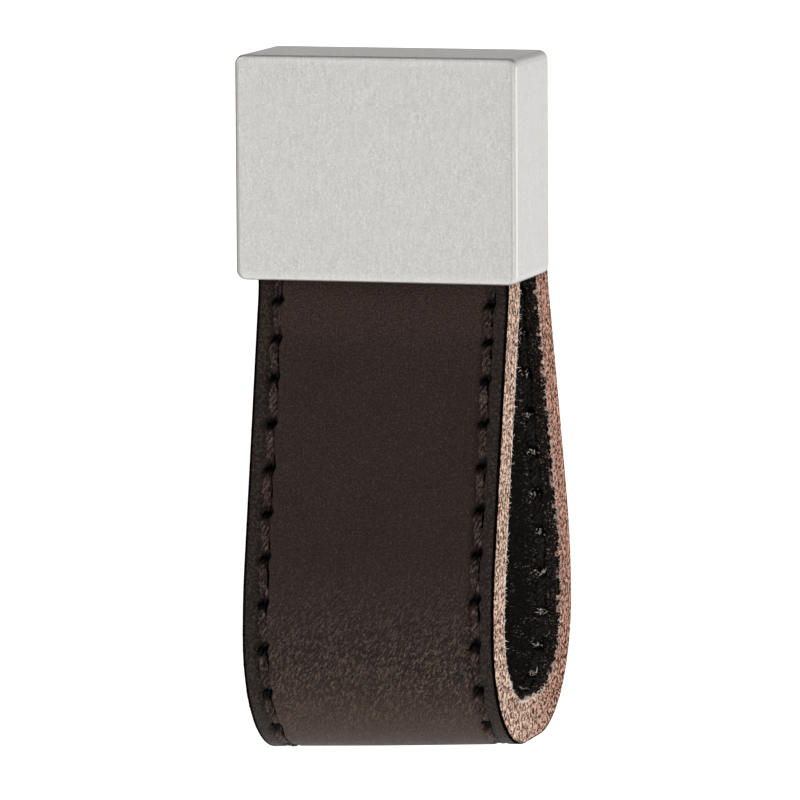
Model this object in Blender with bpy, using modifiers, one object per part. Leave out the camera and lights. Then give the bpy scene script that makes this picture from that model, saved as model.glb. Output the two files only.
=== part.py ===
"""Leather knob: a stitched leather loop that hangs from a satin metal block on a turned post.

The origin is the centre of the post's rear face, which lies flat on the door or drawer front.
+Z is up, +X is to the right and -Y points at the person who pulls the knob.
"""

import math

import bmesh
import bpy
from mathutils import Matrix, Vector

MM = 0.001

# Every pair of pieces that touch on the real knob keeps this gap, and holes are this much wider all round.
CLEARANCE = 0.3 * MM

# The metal block
BLOCK_WIDTH = 30.0 * MM
BLOCK_HEIGHT = 23.2 * MM
FRONT_WALL = 2.4 * MM
REAR_WALL = 5.5 * MM
TOP_WALL = 3.2 * MM
CORNER_RADIUS = 1.0 * MM
EDGE_RADIUS = 0.6 * MM

# The strap, one piece of thick leather folded into a loop
STRAP_WIDTH = 26.8 * MM
STRAP_THICKNESS = 4.6 * MM
STRAP_EDGE_BREAK = 0.25 * MM
REAR_END_BELOW_TOP = 2.0 * MM
FRONT_LEAN = math.radians(12.0)
REAR_LEAN = math.radians(17.0)
MOUTH_BEND_RADIUS = 14.5 * MM
REAR_BEND_RADIUS = 21.0 * MM
REAR_BEND_START = 3.0 * MM
SIDE_RADIUS = 36.0 * MM
LOOP_CORNER_RADIUS = 10.5 * MM
LOOP_DROP = 36.4 * MM

# The two seams, each sewn with one thread on the grain side and one on the flesh side
SEAM_INSET = 2.1 * MM
SEAM_MARGIN = 3.0 * MM
STITCH_PITCH = 4.6 * MM
THREAD_RADIUS = 0.35 * MM
THREAD_PROUD = 0.05 * MM
THREAD_DIP = 0.25 * MM
STITCH_SLANT = 0.12 * MM

# The post that holds the block off the door, with its stud
POST_RADIUS = 6.0 * MM
POST_CHAMFER = 0.5 * MM
STUD_RADIUS = 2.0 * MM
STUD_CHAMFER = 0.4 * MM
STUD_RECESS = 1.0 * MM
DOOR_GAP = 0.8 * MM
SCREW_HOLE_RADIUS = 1.65 * MM
SCREW_HOLE_DEPTH = 8.0 * MM

# One seam groove's section, as shares of its half width across and of its depth down
GROOVE_SECTION = ((-1.0, 0.0), (-0.9, 0.6), (-0.4, 1.0), (0.4, 1.0), (0.9, 0.6), (1.0, 0.0))
# One stitch's bends, as shares of the pitch along, of the dip down and of the slant across
STITCH_BENDS = ((0.0, 1.0, 0.0), (0.22, 0.0, -1.0), (0.78, 0.0, 1.0))
# A drill of 118 degrees leaves a cone this many times its radius deep
DRILL_POINT = 0.6

# How finely round shapes are divided, and how near two points or faces count as one
MAX_TURN = math.radians(8.0)
TURNED_STEPS = 40
CORNER_STEPS = 4
EDGE_STEPS = 3
CREASE_ANGLE = math.radians(35.0)
FLAT_ANGLE = math.radians(0.5)
WELD_DISTANCE = 0.005 * MM
CUT_REACH = 1.0 * MM

# What follows from the sizes above, measured back from the block's front face and down from its top
SLOT_DEPTH = STRAP_THICKNESS + 2 * CLEARANCE
BLOCK_DEPTH = FRONT_WALL + SLOT_DEPTH + REAR_WALL
FRONT_RUN_Y = FRONT_WALL + CLEARANCE + STRAP_THICKNESS / 2
REAR_RUN_Y = BLOCK_DEPTH + CLEARANCE + STRAP_THICKNESS / 2
FRONT_RUN_LENGTH = BLOCK_HEIGHT - TOP_WALL - CLEARANCE
REAR_RUN_LENGTH = BLOCK_HEIGHT - REAR_BEND_START - REAR_END_BELOW_TOP
POST_AXIS_BELOW_TOP = BLOCK_HEIGHT / 2


def lean_run(lean, bend_radius, height):
    """Length of the straight between two bends of one lean, and how far sideways the whole run goes."""
    bends = bend_radius + SIDE_RADIUS
    straight = (height - bends * math.sin(lean)) / math.cos(lean)
    sideways = bends * (1 - math.cos(lean)) + straight * math.sin(lean)
    return straight, sideways


FRONT_STRAIGHT, FRONT_SHIFT = lean_run(FRONT_LEAN, MOUTH_BEND_RADIUS, LOOP_DROP)
REAR_STRAIGHT, REAR_SHIFT = lean_run(REAR_LEAN, REAR_BEND_RADIUS, LOOP_DROP + REAR_BEND_START)
LOOP_FLAT = REAR_RUN_Y + REAR_SHIFT - FRONT_RUN_Y + FRONT_SHIFT - 2 * LOOP_CORNER_RADIUS
REAR_BELLY_Y = REAR_RUN_Y + REAR_SHIFT + STRAP_THICKNESS / 2
DOOR_Y = REAR_BELLY_Y + DOOR_GAP

# The strap's centreline from its front end to its rear end, as (length, turn) pieces
CENTRELINE = (
    (FRONT_RUN_LENGTH, 0.0),
    (MOUTH_BEND_RADIUS * FRONT_LEAN, -FRONT_LEAN),
    (FRONT_STRAIGHT, 0.0),
    (SIDE_RADIUS * FRONT_LEAN, FRONT_LEAN),
    (LOOP_CORNER_RADIUS * math.pi / 2, math.pi / 2),
    (LOOP_FLAT, 0.0),
    (LOOP_CORNER_RADIUS * math.pi / 2, math.pi / 2),
    (SIDE_RADIUS * REAR_LEAN, REAR_LEAN),
    (REAR_STRAIGHT, 0.0),
    (REAR_BEND_RADIUS * REAR_LEAN, -REAR_LEAN),
    (REAR_RUN_LENGTH, 0.0),
)
STRAP_LENGTH = sum(length for length, turn in CENTRELINE)


def to_part(y, z):
    """Y and Z in the part's frame, from a distance behind the block's front face and one above its top."""
    return y - DOOR_Y, z + POST_AXIS_BELOW_TOP


def station(distance, offset=0.0):
    """The point (Y, Z) at a distance along the centreline, moved outward from the loop by the offset."""
    y = FRONT_RUN_Y
    z = -(BLOCK_HEIGHT - FRONT_RUN_LENGTH)
    heading = 0.0
    left = distance
    for length, turn in CENTRELINE:
        part = min(left, length)
        angle = turn * part / length
        middle = heading + angle / 2
        chord = part if turn == 0 else 2 * length / turn * math.sin(angle / 2)
        y += chord * math.sin(middle)
        z -= chord * math.cos(middle)
        heading += angle
        left -= part
        if left <= 0:
            break
    return to_part(y - offset * math.cos(heading), z - offset * math.sin(heading))


def station_distances():
    """Distances along the centreline that divide every bend into turns of at most MAX_TURN."""
    distances = [0.0]
    done = 0.0
    for length, turn in CENTRELINE:
        steps = max(1, math.ceil(abs(turn) / MAX_TURN))
        distances += [done + length * step / steps for step in range(1, steps + 1)]
        done += length
    return distances


def clear_scene():
    """Removes every object that the file opened with."""
    for thing in list(bpy.data.objects):
        bpy.data.objects.remove(thing, do_unlink=True)


def new_collection(name):
    """A collection linked to the scene."""
    collection = bpy.data.collections.new(name)
    bpy.context.scene.collection.children.link(collection)
    return collection


def new_material(name, colour, roughness, metallic):
    """A material of one colour, given as linear red, green and blue."""
    material = bpy.data.materials.new(name)
    material.use_nodes = True
    shader = material.node_tree.nodes["Principled BSDF"]
    shader.inputs["Base Color"].default_value = (*colour, 1.0)
    shader.inputs["Roughness"].default_value = roughness
    shader.inputs["Metallic"].default_value = metallic
    material.diffuse_color = (*colour, 1.0)
    return material


def new_object(name, mesh, collection, material=None):
    """An object of a mesh, in a collection."""
    thing = bpy.data.objects.new(name, mesh)
    collection.objects.link(thing)
    if material is not None:
        mesh.materials.append(material)
    return thing


def shade(mesh):
    """Smooth faces, with edges sharper than the crease angle kept crisp."""
    mesh.shade_smooth()
    mesh.set_sharp_from_angle(angle=CREASE_ANGLE)


def poly_spline(curve, points, cyclic=False):
    """Adds a spline of straight runs through the points to a curve."""
    spline = curve.splines.new("POLY")
    spline.points.add(len(points) - 1)
    for place, point in zip(spline.points, points):
        place.co = (*point, 1.0)
    spline.use_cyclic_u = cyclic
    return spline


def mesh_from_curve(name, curve, matrix, collection, material):
    """The welded mesh of a bevelled curve, as an object; the curve is removed."""
    guide = bpy.data.objects.new(name + "_guide", curve)
    collection.objects.link(guide)
    guide.matrix_world = matrix
    bpy.context.view_layer.update()
    evaluated = guide.evaluated_get(bpy.context.evaluated_depsgraph_get())
    mesh = bpy.data.meshes.new_from_object(evaluated)
    mesh.name = name
    mesh.materials.clear()
    surface = bmesh.new()
    surface.from_mesh(mesh)
    bmesh.ops.remove_doubles(surface, verts=surface.verts, dist=WELD_DISTANCE)
    bmesh.ops.dissolve_limit(surface, angle_limit=FLAT_ANGLE, verts=surface.verts, edges=surface.edges)
    bmesh.ops.recalc_face_normals(surface, faces=surface.faces)
    surface.to_mesh(mesh)
    surface.free()
    shade(mesh)
    thing = new_object(name, mesh, collection, material)
    thing.matrix_world = matrix
    bpy.data.objects.remove(guide, do_unlink=True)
    return thing


def box_mesh(name, low, high):
    """A box between two corners."""
    surface = bmesh.new()
    middle = Matrix.Translation((Vector(low) + Vector(high)) / 2)
    size = Matrix.Diagonal((*(Vector(high) - Vector(low)), 1.0))
    bmesh.ops.create_cube(surface, size=1.0, matrix=middle @ size)
    mesh = bpy.data.meshes.new(name)
    surface.to_mesh(mesh)
    surface.free()
    return mesh


def cut(thing, cutter):
    """Takes a cutter's shape out of an object."""
    boolean = thing.modifiers.new("cut_" + cutter.name, "BOOLEAN")
    boolean.operation = "DIFFERENCE"
    boolean.solver = "EXACT"
    boolean.object = cutter


def as_cutter(thing):
    """Marks an object as a cutter, which is never part of the knob."""
    thing.hide_render = True
    thing.display_type = "WIRE"
    return thing


def make_slot_cutter(collection):
    """The pocket in the block's underside that takes the strap's front end."""
    half = STRAP_WIDTH / 2 + CLEARANCE
    front, top = to_part(FRONT_WALL, -TOP_WALL)
    rear, bottom = to_part(FRONT_WALL + SLOT_DEPTH, -BLOCK_HEIGHT - CUT_REACH)
    mesh = box_mesh("strap_pocket", (-half, front, bottom), (half, rear, top))
    return as_cutter(new_object("strap_pocket", mesh, collection))


def make_stud_cutter(collection):
    """The hole for the stud, from its end in the front wall to behind the strap's rear end."""
    start = to_part(FRONT_WALL - STUD_RECESS, 0)[0]
    end = to_part(REAR_RUN_Y + STRAP_THICKNESS / 2 + CUT_REACH, 0)[0]
    surface = bmesh.new()
    bmesh.ops.create_cone(
        surface,
        cap_ends=True,
        segments=TURNED_STEPS,
        radius1=STUD_RADIUS + CLEARANCE,
        radius2=STUD_RADIUS + CLEARANCE,
        depth=end - start,
    )
    mesh = bpy.data.meshes.new("stud_hole")
    surface.to_mesh(mesh)
    surface.free()
    cutter = as_cutter(new_object("stud_hole", mesh, collection))
    along_y = Matrix.Rotation(math.radians(90), 4, "X")
    cutter.matrix_world = Matrix.Translation((0, (start + end) / 2, 0)) @ along_y
    return cutter


def make_block(collection, material, cutters):
    """The block: a rounded box with a pocket for the strap and a hole for the stud."""
    front, top = to_part(0, 0)
    rear, bottom = to_part(BLOCK_DEPTH, -BLOCK_HEIGHT)
    mesh = box_mesh("block", (-BLOCK_WIDTH / 2, front, bottom), (BLOCK_WIDTH / 2, rear, top))
    surface = bmesh.new()
    surface.from_mesh(mesh)
    spans = [(edge, edge.verts[1].co - edge.verts[0].co) for edge in surface.edges]
    corners = [edge for edge, span in spans if abs(span.y) > BLOCK_DEPTH / 2]
    bmesh.ops.bevel(
        surface,
        geom=corners,
        offset=CORNER_RADIUS,
        segments=CORNER_STEPS,
        profile=0.5,
        affect="EDGES",
    )
    surface.to_mesh(mesh)
    surface.free()
    shade(mesh)
    block = new_object("block", mesh, collection, material)
    bevel = block.modifiers.new("soft_edges", "BEVEL")
    bevel.width = EDGE_RADIUS
    bevel.segments = EDGE_STEPS
    bevel.limit_method = "ANGLE"
    bevel.angle_limit = math.radians(60)
    for cutter in cutters:
        cut(block, cutter)
    return block


def groove_points(x, side):
    """The section of one seam groove: across the strap and through its thickness, on the +1 or -1 side."""
    half = THREAD_RADIUS + CLEARANCE + STITCH_SLANT
    depth = 2 * THREAD_RADIUS - THREAD_PROUD + THREAD_DIP + CLEARANCE
    face = STRAP_THICKNESS / 2
    return [(x + across * half, side * (face - down * depth)) for across, down in GROOVE_SECTION]


def strap_section():
    """The strap's cross-section: a rectangle with broken edges and a groove along each seam, both sides."""
    half = STRAP_WIDTH / 2
    thick = STRAP_THICKNESS / 2
    breaks = STRAP_EDGE_BREAK
    seam = half - SEAM_INSET
    inner_grooves = groove_points(-seam, -1) + groove_points(seam, -1)
    outer_grooves = groove_points(-seam, 1) + groove_points(seam, 1)
    inner = [(-half + breaks, -thick), *inner_grooves, (half - breaks, -thick)]
    outer = [(-half + breaks, thick), *outer_grooves, (half - breaks, thick)]
    right = [(half, -thick + breaks), (half, thick - breaks)]
    left = [(-half, thick - breaks), (-half, -thick + breaks)]
    return [*inner, *right, *reversed(outer), *left]


def make_strap(collection, material, cutter):
    """The strap: its section swept along the loop, with the stud's hole through both ends."""
    section = bpy.data.curves.new("strap_section", "CURVE")
    section.dimensions = "2D"
    poly_spline(section, [(through, across, 0.0) for across, through in strap_section()], cyclic=True)
    section_object = bpy.data.objects.new("strap_section", section)
    collection.objects.link(section_object)
    path = bpy.data.curves.new("strap_path", "CURVE")
    path.dimensions = "2D"
    poly_spline(path, [(*station(distance), 0.0) for distance in station_distances()])
    path.bevel_mode = "OBJECT"
    path.bevel_object = section_object
    path.use_fill_caps = True
    # The path is drawn flat, as (Y, Z), and stood up in the plane X = 0.
    upright = Matrix(((0, 0, 1, 0), (1, 0, 0, 0), (0, 1, 0, 0), (0, 0, 0, 1)))
    strap = mesh_from_curve("strap", path, upright, collection, material)
    bpy.data.objects.remove(section_object, do_unlink=True)
    cut(strap, cutter)
    return strap


def make_thread(name, x, side, collection, material):
    """One seam's thread on the outer (+1) or inner (-1) face: it dips at each needle hole and slants between."""
    stitches = int((STRAP_LENGTH - 2 * SEAM_MARGIN) / STITCH_PITCH)
    start = (STRAP_LENGTH - stitches * STITCH_PITCH) / 2
    crown = STRAP_THICKNESS / 2 + THREAD_PROUD - THREAD_RADIUS
    points = []
    for stitch in range(stitches):
        for along, dip, slant in STITCH_BENDS:
            y, z = station(start + (stitch + along) * STITCH_PITCH, side * (crown - dip * THREAD_DIP))
            points.append((x + slant * STITCH_SLANT * math.copysign(1, x), y, z))
    y, z = station(start + stitches * STITCH_PITCH, side * (crown - THREAD_DIP))
    points.append((x, y, z))
    curve = bpy.data.curves.new(name, "CURVE")
    curve.dimensions = "3D"
    curve.bevel_depth = THREAD_RADIUS
    curve.bevel_resolution = 1
    curve.use_fill_caps = True
    poly_spline(curve, points)
    return mesh_from_curve(name, curve, Matrix.Identity(4), collection, material)


def post_profile():
    """The post's half section, as (radius, height) with the door face at height 0 and the stud upward."""
    shoulder = DOOR_Y - (REAR_RUN_Y + STRAP_THICKNESS / 2 + CLEARANCE)
    stud_end = DOOR_Y - (FRONT_WALL - STUD_RECESS + CLEARANCE)
    hole_depth = min(SCREW_HOLE_DEPTH, shoulder - POST_CHAMFER)
    return (
        (0.0, stud_end),
        (STUD_RADIUS - STUD_CHAMFER, stud_end),
        (STUD_RADIUS, stud_end - STUD_CHAMFER),
        (STUD_RADIUS, shoulder),
        (POST_RADIUS - POST_CHAMFER, shoulder),
        (POST_RADIUS, shoulder - POST_CHAMFER),
        (POST_RADIUS, POST_CHAMFER),
        (POST_RADIUS - POST_CHAMFER, 0.0),
        (SCREW_HOLE_RADIUS, 0.0),
        (SCREW_HOLE_RADIUS, hole_depth),
        (0.0, hole_depth + DRILL_POINT * SCREW_HOLE_RADIUS),
    )


def make_post(collection, material):
    """The post: a turned profile with a stud in front and a blind screw hole behind."""
    profile = post_profile()
    mesh = bpy.data.meshes.new("post")
    points = [(radius, 0.0, height) for radius, height in profile]
    lines = [(place, place + 1) for place in range(len(profile) - 1)]
    mesh.from_pydata(points, lines, [])
    post = new_object("post", mesh, collection, material)
    turn = post.modifiers.new("turned", "SCREW")
    turn.axis = "Z"
    turn.steps = TURNED_STEPS
    turn.render_steps = TURNED_STEPS
    turn.use_merge_vertices = True
    turn.merge_threshold = WELD_DISTANCE
    turn.use_smooth_shade = True
    # Height along the lathe becomes distance in front of the door.
    post.matrix_world = Matrix.Rotation(math.radians(90), 4, "X")
    return post


def main():
    """Builds the knob."""
    clear_scene()
    knob = new_collection("leather_knob")
    cutters = new_collection("cutters")
    satin_metal = new_material("satin_metal", (0.58, 0.565, 0.54), 0.34, 1.0)
    turned_metal = new_material("turned_metal", (0.55, 0.54, 0.52), 0.3, 1.0)
    leather = new_material("dark_brown_leather", (0.034, 0.024, 0.020), 0.5, 0.0)
    grain_thread = new_material("dark_brown_thread", (0.030, 0.017, 0.014), 0.6, 0.0)
    flesh_thread = new_material("black_thread", (0.012, 0.010, 0.009), 0.7, 0.0)
    slot_cutter = make_slot_cutter(cutters)
    stud_cutter = make_stud_cutter(cutters)
    make_block(knob, satin_metal, (slot_cutter, stud_cutter))
    make_strap(knob, leather, stud_cutter)
    make_post(knob, turned_metal)
    seam = STRAP_WIDTH / 2 - SEAM_INSET
    for name, x in (("left", -seam), ("right", seam)):
        make_thread("outer_thread_" + name, x, 1, knob, grain_thread)
        make_thread("inner_thread_" + name, x, -1, knob, flesh_thread)


main()
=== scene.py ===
# %% [markdown]
# # A stitched leather knob
#
# A loop of thick leather hangs from a satin metal block. The block takes the loop's front end in a pocket.
# A turned post behind the block clamps the loop's rear end and holds everything off the door.
# Each piece below is a formula worked out with numpy on a grid of two parameters, with a material of its own.

# %% The frame
import math

import bpy
import numpy as np
from mathutils import Matrix, Vector


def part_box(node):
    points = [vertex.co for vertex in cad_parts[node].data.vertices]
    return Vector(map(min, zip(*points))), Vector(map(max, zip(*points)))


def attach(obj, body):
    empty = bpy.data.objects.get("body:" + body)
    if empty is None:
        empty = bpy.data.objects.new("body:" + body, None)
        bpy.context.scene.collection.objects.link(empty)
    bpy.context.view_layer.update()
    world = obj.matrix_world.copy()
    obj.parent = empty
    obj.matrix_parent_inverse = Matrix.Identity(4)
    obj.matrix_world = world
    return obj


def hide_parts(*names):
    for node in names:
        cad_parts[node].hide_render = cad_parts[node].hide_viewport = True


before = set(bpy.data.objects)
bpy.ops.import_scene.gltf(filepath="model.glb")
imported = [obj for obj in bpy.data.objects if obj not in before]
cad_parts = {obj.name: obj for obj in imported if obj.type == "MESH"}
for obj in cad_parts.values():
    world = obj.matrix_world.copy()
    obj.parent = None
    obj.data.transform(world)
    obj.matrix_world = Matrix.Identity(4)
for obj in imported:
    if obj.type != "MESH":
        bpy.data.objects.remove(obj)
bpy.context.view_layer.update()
MM = 0.001

# %% [markdown]
# ## The camera
#
# The knob was photographed from the right and a little above, with a long lens, so its edges hardly converge.
# A long lens far away gives the same look. The camera is turned by its own three axes: right, up and back.
# A small roll of under one degree tilts the picture as the photographer's camera was tilted.

# %% A camera with a long lens
CAMERA_TARGET = Vector((2.532, -28.241, -23.598)) * MM
CAMERA_DISTANCE = 774.9 * MM
CAMERA_AZIMUTH = math.radians(16.02)
CAMERA_ELEVATION = math.radians(6.882)
CAMERA_ROLL = math.radians(-0.362)
CAMERA_LENS = 340.35


def camera_axes(azimuth, elevation, roll):
    """Right, up and back of a camera on a sphere round the object. Azimuth 0 looks along +Y, and the roll
    turns right towards up."""
    level = math.cos(elevation)
    right = Vector((math.cos(azimuth), math.sin(azimuth), 0.0))
    back = Vector((math.sin(azimuth) * level, -math.cos(azimuth) * level, math.sin(elevation)))
    up = back.cross(right)
    return right * math.cos(roll) + up * math.sin(roll), up * math.cos(roll) - right * math.sin(roll), back


def in_scene(name, data):
    """An object with its data, put in the scene."""
    thing = bpy.data.objects.new(name, data)
    bpy.context.scene.collection.objects.link(thing)
    return thing


right, up, back = camera_axes(CAMERA_AZIMUTH, CAMERA_ELEVATION, CAMERA_ROLL)
camera_data = bpy.data.cameras.new("long_lens")
camera_data.lens = CAMERA_LENS
camera_data.sensor_width = 36.0
camera_data.clip_start = 0.05
camera_data.clip_end = 20.0
camera = in_scene("camera", camera_data)
camera_turn = Matrix((right, up, back)).transposed().to_4x4()
camera.matrix_world = Matrix.Translation(CAMERA_TARGET + back * CAMERA_DISTANCE) @ camera_turn
bpy.context.scene.camera = camera
print("camera at", [round(v, 4) for v in camera.location])

# %% [markdown]
# ## Helpers for surfaces
#
# Every new piece is a grid of points: one parameter runs along it and the other round it. These helpers turn
# such a grid into faces, close its ends and make sure that the faces point outwards.

# %% From a grid to a mesh


def ring_faces(rings, points):
    """Quads between neighbouring rings, each closed on itself; points are numbered ring by ring."""
    ring, point = np.meshgrid(np.arange(rings - 1), np.arange(points), indexing="ij")
    after = (point + 1) % points
    here, there = ring * points, (ring + 1) * points
    return np.stack((here + point, here + after, there + after, there + point), axis=-1).reshape(-1, 4)


def signed_volume(points, quads):
    """A sixth of the sum over triangles of a . (b x c), which is positive where faces point outwards."""
    a, b, c, d = (points[quads[:, corner]] for corner in range(4))
    return ((a * np.cross(b, c)).sum() + (a * np.cross(c, d)).sum()) / 6


def closed_tube(rings):
    """Points and faces of rings of shape (rings, points, 3), with the first and last ring filled in."""
    count, size = rings.shape[:2]
    points = rings.reshape(-1, 3)
    quads = ring_faces(count, size)
    first = np.arange(size)[::-1]
    last = np.arange(size) + (count - 1) * size
    if signed_volume(points - points.mean(axis=0), quads) < 0:
        quads, first, last = quads[:, ::-1], first[::-1], last[::-1]
    return points, [*quads.tolist(), first.tolist(), last.tolist()]


def new_mesh(name, points, faces):
    """A mesh of points and faces."""
    mesh = bpy.data.meshes.new(name)
    mesh.from_pydata(points, [], faces)
    return mesh


def new_piece(name, points, faces, slot, replaced=(), smooth=math.radians(40)):
    """A mesh object that rides on the knob and may stand for CAD nodes. Its slot argument is not used."""
    mesh = new_mesh(name, points.tolist(), faces)
    mesh.validate()
    mesh.shade_smooth()
    mesh.set_sharp_from_angle(angle=smooth)
    piece = in_scene(name, mesh)
    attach(piece, "root")
    if replaced:
        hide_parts(*replaced)
    print(name, "has", sum(len(face) - 2 for face in faces), "triangles")
    return piece


def keep_values(piece, name, values):
    """Stores a number or a vector for each point, which a material reads with an Attribute node."""
    kind, label = ("FLOAT", "value") if values.size == len(piece.data.vertices) else ("FLOAT_VECTOR", "vector")
    attribute = piece.data.attributes.new(name, kind, "POINT")
    attribute.data.foreach_set(label, values.astype(np.float32).ravel())


def smooth_step(low, high, value):
    """0 below low and 1 above high, with the curve 3f^2 - 2f^3 between them."""
    share = np.clip((value - low) / (high - low), 0.0, 1.0)
    return share * share * (3 - 2 * share)


LATTICE = 256


def lattice_noise(a, b, seed):
    """Smooth noise from -1 to 1: random heights at the whole numbers, blended in between with 3f^2 - 2f^3."""
    heights = np.random.default_rng(seed).uniform(-1.0, 1.0, (LATTICE, LATTICE))
    low_a, low_b = np.floor(a).astype(int), np.floor(b).astype(int)
    share_a, share_b = smooth_step(0, 1, a - low_a), smooth_step(0, 1, b - low_b)

    def row(step):
        b_here = (low_b + step) % LATTICE
        here, next_a = heights[low_a % LATTICE, b_here], heights[(low_a + 1) % LATTICE, b_here]
        return here * (1 - share_a) + next_a * share_a

    return row(0) * (1 - share_b) + row(1) * share_b


# %% [markdown]
# ## The metal block
#
# The block is a cast piece whose faces were brushed downwards and whose edges stay crisp. Its underside has a
# pocket for the leather. It could be a cube with a bevel and a Boolean. A stack of rounded rectangles gives
# the same body with even rows of points over the edges: from the top face, over the edge, down the walls, over
# the lower edge, in to the pocket's mouth and up the pocket's walls to its ceiling.

# %% Rounded rectangles, one above the other
block_low, block_high = (np.array(corner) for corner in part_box("block"))
CORNER_ROUND = 1.0 * MM
EDGE_ROUND = 0.38 * MM
UPRIGHT_ROUND = 0.6 * MM
POCKET_HALF_WIDTH, POCKET_FRONT, POCKET_REAR, POCKET_TOP = 13.7 * MM, 2.4 * MM, 7.6 * MM, 3.2 * MM
POCKET_ROUND = 0.5 * MM
MOUTH_BREAK = 0.2 * MM
LEAST_ROUND = 0.06 * MM
CAP_SHRINK = 0.12 * MM
ARC_STEPS, SIDE_STEPS = 8, 14
IN_FLAT_FACE, ON_EDGE = -1.0, 1.0


def rectangle_rings(half_x, half_y, radius, centre_y, height):
    """Rings of shape (rings, points, 3). Each is a smaller rectangle with a circle of the corner's radius
    added point by point. The second array is 1 in the middle of a corner and 0 at its ends."""
    quarter = np.concatenate((np.linspace(0, 1, ARC_STEPS + 1), np.ones(SIDE_STEPS - 1)))
    along = np.concatenate((np.zeros(ARC_STEPS + 1), np.arange(1, SIDE_STEPS) / SIDE_STEPS))
    corner = np.repeat(np.arange(4), quarter.size)
    angle = (corner + np.tile(quarter, 4)) * math.pi / 2
    share = np.tile(along, 4)
    sign_x, sign_y = np.array((1, -1, -1, 1)), np.array((1, 1, -1, -1))
    inner_x = sign_x[corner] * (1 - share) + sign_x[(corner + 1) % 4] * share
    inner_y = sign_y[corner] * (1 - share) + sign_y[(corner + 1) % 4] * share
    columns = (half_x, half_y, radius, centre_y, height)
    half_x, half_y, radius, centre_y, height = (column[:, None] for column in columns)
    x = inner_x * (half_x - radius) + radius * np.cos(angle)
    y = inner_y * (half_y - radius) + radius * np.sin(angle) + centre_y
    z = np.broadcast_to(height, x.shape)
    return np.stack((x, y, z), axis=-1), np.abs(np.sin(2 * angle))


def edge_inset(depth, radius):
    """How far a rounded edge stands in at a depth below the face: r - sqrt(r^2 - (r - depth)^2)."""
    left = np.clip(radius - depth, 0.0, radius)
    return radius - np.sqrt(radius**2 - left**2)


block_half = (block_high - block_low)[:2] / 2
middle_y = (block_high + block_low)[1] / 2
turn = np.linspace(0, math.pi / 2, 15)
depth = CORNER_ROUND * (1 - np.cos(turn))
inset = np.stack((edge_inset(depth, CORNER_ROUND), edge_inset(depth, EDGE_ROUND)), axis=-1)
corner_radius = np.maximum(UPRIGHT_ROUND - inset[:, 1], LEAST_ROUND)
wall = np.linspace(block_high[2] - CORNER_ROUND, block_low[2] + CORNER_ROUND, 9)[1:-1]
pocket_half = np.array((POCKET_HALF_WIDTH, (POCKET_REAR - POCKET_FRONT) / 2))
pocket_y = block_low[1] + (POCKET_REAR + POCKET_FRONT) / 2
pocket_ceiling = block_high[2] - POCKET_TOP
rows = []


def add_row(half, radius, centre_y, height, mark=0.0):
    """One rectangle: half its width and depth, its corners' radius, middle, height and edge mark."""
    rows.append((*half, radius, centre_y, height, mark))


add_row(block_half - inset[0] - CAP_SHRINK, corner_radius[0], middle_y, block_high[2], IN_FLAT_FACE)
edge_rows = list(zip(block_half - inset, corner_radius, depth, np.sin(2 * turn)))
for half, radius, down, mark in edge_rows:
    add_row(half, radius, middle_y, block_high[2] - down, mark)
for height in wall:
    add_row(block_half, UPRIGHT_ROUND, middle_y, height)
for half, radius, rise, mark in reversed(edge_rows):
    add_row(half, radius, middle_y, block_low[2] + rise, mark)
outer = np.array((*(block_half - inset[0]), corner_radius[0], middle_y))
mouth = np.array((*(pocket_half + MOUTH_BREAK), POCKET_ROUND, pocket_y))
for share in (0.04, 0.5, 0.96, 1.0):
    *half, radius, centre_y = outer + (mouth - outer) * share
    add_row(half, radius, centre_y, block_low[2], IN_FLAT_FACE)
for angle in np.linspace(0, math.pi / 2, 5)[1:]:
    half = pocket_half + MOUTH_BREAK * (1 - math.sin(angle))
    add_row(half, POCKET_ROUND, pocket_y, block_low[2] + MOUTH_BREAK * (1 - math.cos(angle)), ON_EDGE)
for height in np.linspace(block_low[2] + 1 * MM, pocket_ceiling, 8):
    add_row(pocket_half, POCKET_ROUND, pocket_y, height)
add_row(pocket_half - CAP_SHRINK, POCKET_ROUND - CAP_SHRINK, pocket_y, pocket_ceiling, IN_FLAT_FACE)
rows = np.array(rows)
block_rings, corner_turn = rectangle_rings(*rows[:, :5].T)
metal_block = new_piece("metal_block", *closed_tube(block_rings), "satin_metal", ["block"])
row_mark = rows[:, 5:]
edge_share = np.maximum(row_mark, corner_turn * (row_mark != IN_FLAT_FACE))
keep_values(metal_block, "edge", edge_share)

# %% [markdown]
# ## The leather's path
#
# The strap leaves the pocket, leans out, swings round the bottom and comes back up behind the block. Its
# centreline is a chain of straights and arcs, each a length and a turn. A point at any distance along an arc
# comes from the chord: the part's length times sin(half the angle) / half the angle, in the mean direction.

# %% The centreline
STRAP_WIDTH = 26.8 * MM
STRAP_THICKNESS = 4.6 * MM
BLOCK_HEIGHT = 23.2 * MM
FRONT_RUN_Y, REAR_RUN_Y = 5.0 * MM, 15.7 * MM
FRONT_RUN_LENGTH, REAR_RUN_LENGTH = 19.7 * MM, 18.2 * MM
FRONT_LEAN, REAR_LEAN = math.radians(12.0), math.radians(17.0)
MOUTH_BEND, REAR_BEND, SIDE_BEND = 14.5 * MM, 21.0 * MM, 36.0 * MM
LOOP_CORNER, LOOP_DROP, REAR_BEND_START = 10.5 * MM, 36.4 * MM, 3.0 * MM
DOOR_GAP = 0.8 * MM


def lean_run(lean, bend, height):
    """The straight between two bends of one lean, and how far sideways the whole run goes."""
    bends = bend + SIDE_BEND
    straight = (height - bends * math.sin(lean)) / math.cos(lean)
    return straight, bends * (1 - math.cos(lean)) + straight * math.sin(lean)


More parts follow.
